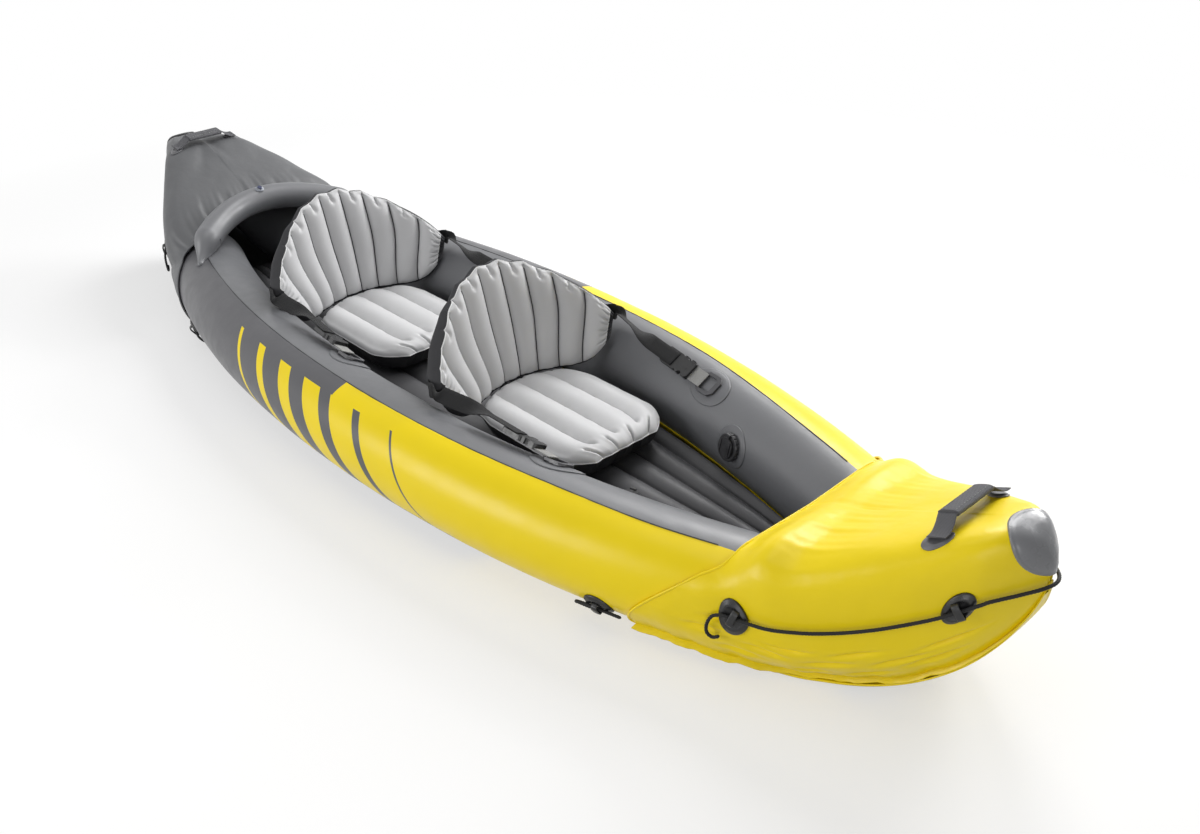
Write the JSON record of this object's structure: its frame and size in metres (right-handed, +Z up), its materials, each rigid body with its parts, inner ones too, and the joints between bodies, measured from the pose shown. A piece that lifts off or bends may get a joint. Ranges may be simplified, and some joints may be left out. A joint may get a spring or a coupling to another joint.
{
  "type": "tandem kayak",
  "caption": "Inflatable two-person kayak: side tubes, spray covers at both ends, I-beam floor, tilting inflatable seats, buckled straps, grab lines and carry handles.",
  "frame": {"origin": "on the ground under the middle of the hull", "axes": "+X to the bow, +Y to port, +Z up"},
  "size_m": [3.1448, 0.9066, 0.4507],
  "materials": {
    "tube_vinyl": "satin grey vinyl, yellow on the outer side",
    "yellow_vinyl": "glossy yellow vinyl",
    "grey_vinyl": "satin grey vinyl",
    "dark_vinyl": "satin near-black vinyl",
    "seat_vinyl": "satin light grey vinyl",
    "dark_webbing": "woven dark grey webbing",
    "black_webbing": "woven black webbing",
    "silver_webbing": "woven silver-grey webbing",
    "rope": "twisted black cord",
    "black_plastic": "moulded black plastic",
    "clear_grey_plastic": "soft grey plastic"
  },
  "bodies": {
    "hull": {"port_side_tube": "tube_vinyl", "starboard_side_tube": "tube_vinyl", "bottom_sheet": "yellow_vinyl", "bow_bottom_panel": "yellow_vinyl", "stern_bottom_panel": "grey_vinyl", "floor_insert": "dark_vinyl", "inner_weld_strips": "yellow_vinyl", "bow_cover": "yellow_vinyl", "stern_cover": "grey_vinyl", "stern_arch_tube": "tube_vinyl", "bow_nose_patch": "grey_vinyl", "stern_nose_patch": "dark_vinyl", "bow_wear_patch": "dark_vinyl", "bow_handle_anchors": "dark_webbing", "stern_handle_anchors": "dark_webbing", "bow_rope_holders": "black_plastic", "stern_rope_holders": "black_plastic", "bow_grab_line": "rope", "stern_grab_line": "rope", "bow_tie_cords": "rope", "stern_tie_cords": "rope", "front_cushion": "seat_vinyl", "front_cushion_base": "dark_vinyl", "rear_cushion": "seat_vinyl", "rear_cushion_base": "dark_vinyl", "front_sockets": "black_plastic", "rear_sockets": "black_plastic", "front_anchor_webbing": "silver_webbing", "rear_anchor_webbing": "silver_webbing", "front_anchor_plates": "black_plastic", "rear_anchor_plates": "black_plastic", "anchor_weld_patches": "grey_vinyl", "valve_flanges": "dark_vinyl", "valve_necks": "black_plastic", "pinch_valves": "clear_grey_plastic"},
    "front_back": {"front_backrest": "seat_vinyl", "front_backrest_skin": "dark_vinyl", "front_hinge_seam": "dark_vinyl", "front_port_strap": "black_webbing", "front_starboard_strap": "black_webbing"},
    "rear_back": {"rear_backrest": "seat_vinyl", "rear_backrest_skin": "dark_vinyl", "rear_hinge_seam": "dark_vinyl", "rear_port_strap": "black_webbing", "rear_starboard_strap": "black_webbing"},
    "bow_handle": {"bow_handle_strap": "dark_webbing", "bow_handle_grip": "dark_webbing"},
    "stern_handle": {"stern_handle_strap": "dark_webbing", "stern_handle_grip": "dark_webbing"},
    "port_ring": {"port_valve_ring": "black_plastic"},
    "starboard_ring": {"starboard_valve_ring": "black_plastic"},
    "port_cap": {"port_valve_cap": "black_plastic"},
    "starboard_cap": {"starboard_valve_cap": "black_plastic"},
    "arch_plug": {"arch_valve_plug": "clear_grey_plastic"},
    "floor_plug": {"floor_valve_plug": "clear_grey_plastic"},
    "front_port_buckle": {"front_port_tongue": "black_plastic"},
    "front_starboard_buckle": {"front_starboard_tongue": "black_plastic"},
    "rear_port_buckle": {"rear_port_tongue": "black_plastic"},
    "rear_starboard_buckle": {"rear_starboard_tongue": "black_plastic"}
  },
  "joints": [
    {"name": "front_back_tilt", "type": "hinge", "parent": "hull", "child": "front_back", "pos_m": [0.172, 0, 0.14], "axis": [0, 1, 0], "range_deg": [-30, 3], "deforming": ["front_port_strap", "front_starboard_strap"]},
    {"name": "rear_back_tilt", "type": "hinge", "parent": "hull", "child": "rear_back", "pos_m": [-0.534, 0, 0.14], "axis": [0, 1, 0], "range_deg": [-30, 3], "deforming": ["rear_port_strap", "rear_starboard_strap"]},
    {"name": "front_port_buckle_release", "type": "slide", "parent": "hull", "child": "front_port_buckle", "axis": [-0.9895, 0.0949, 0.1086], "range_m": [0, 0.04]},
    {"name": "front_starboard_buckle_release", "type": "slide", "parent": "hull", "child": "front_starboard_buckle", "axis": [-0.9895, -0.0949, 0.1086], "range_m": [0, 0.04]},
    {"name": "rear_port_buckle_release", "type": "slide", "parent": "hull", "child": "rear_port_buckle", "axis": [-0.9932, -0.0425, 0.108], "range_m": [0, 0.04]},
    {"name": "rear_starboard_buckle_release", "type": "slide", "parent": "hull", "child": "rear_starboard_buckle", "axis": [-0.9932, 0.0425, 0.108], "range_m": [0, 0.04]},
    {"name": "bow_handle_lift", "type": "slide", "parent": "hull", "child": "bow_handle", "axis": [-0.4147, 0, 0.91], "range_m": [-0.008, 0.012], "stiffness_N_per_m": 800, "deforming": ["bow_handle_strap"]},
    {"name": "stern_handle_lift", "type": "slide", "parent": "hull", "child": "stern_handle", "axis": [0.0744, 0, 0.9972], "range_m": [-0.008, 0.012], "stiffness_N_per_m": 800, "deforming": ["stern_handle_strap"]},
    {"name": "port_valve_unscrew", "type": "hinge", "parent": "hull", "child": "port_ring", "pos_m": [0.74916, 0.14765, 0.14821], "axis": [-0.2092, -0.9461, 0.2474], "range_deg": [0, 360]},
    {"name": "starboard_valve_unscrew", "type": "hinge", "parent": "hull", "child": "starboard_ring", "pos_m": [0.74916, -0.14765, 0.14821], "axis": [-0.2092, 0.9461, 0.2474], "range_deg": [0, 360]},
    {"name": "port_valve_cap_flip", "type": "hinge", "parent": "port_ring", "child": "port_cap", "pos_m": [0.74826, 0.14354, 0.18025], "axis": [-0.9764, 0.2159, 0], "range_deg": [0, 110]},
    {"name": "starboard_valve_cap_flip", "type": "hinge", "parent": "starboard_ring", "child": "starboard_cap", "pos_m": [0.74826, -0.14354, 0.18025], "axis": [0.9764, 0.2159, 0], "range_deg": [0, 110]},
    {"name": "arch_plug_flip", "type": "hinge", "parent": "hull", "child": "arch_plug", "pos_m": [-0.99683, 0, 0.34662], "axis": [0, 1, 0], "range_deg": [0, 100]},
    {"name": "floor_plug_flip", "type": "hinge", "parent": "hull", "child": "floor_plug", "pos_m": [-0.6915, -0.02952, 0.0912], "axis": [0, 1, 0], "range_deg": [0, 100]}
  ]
}
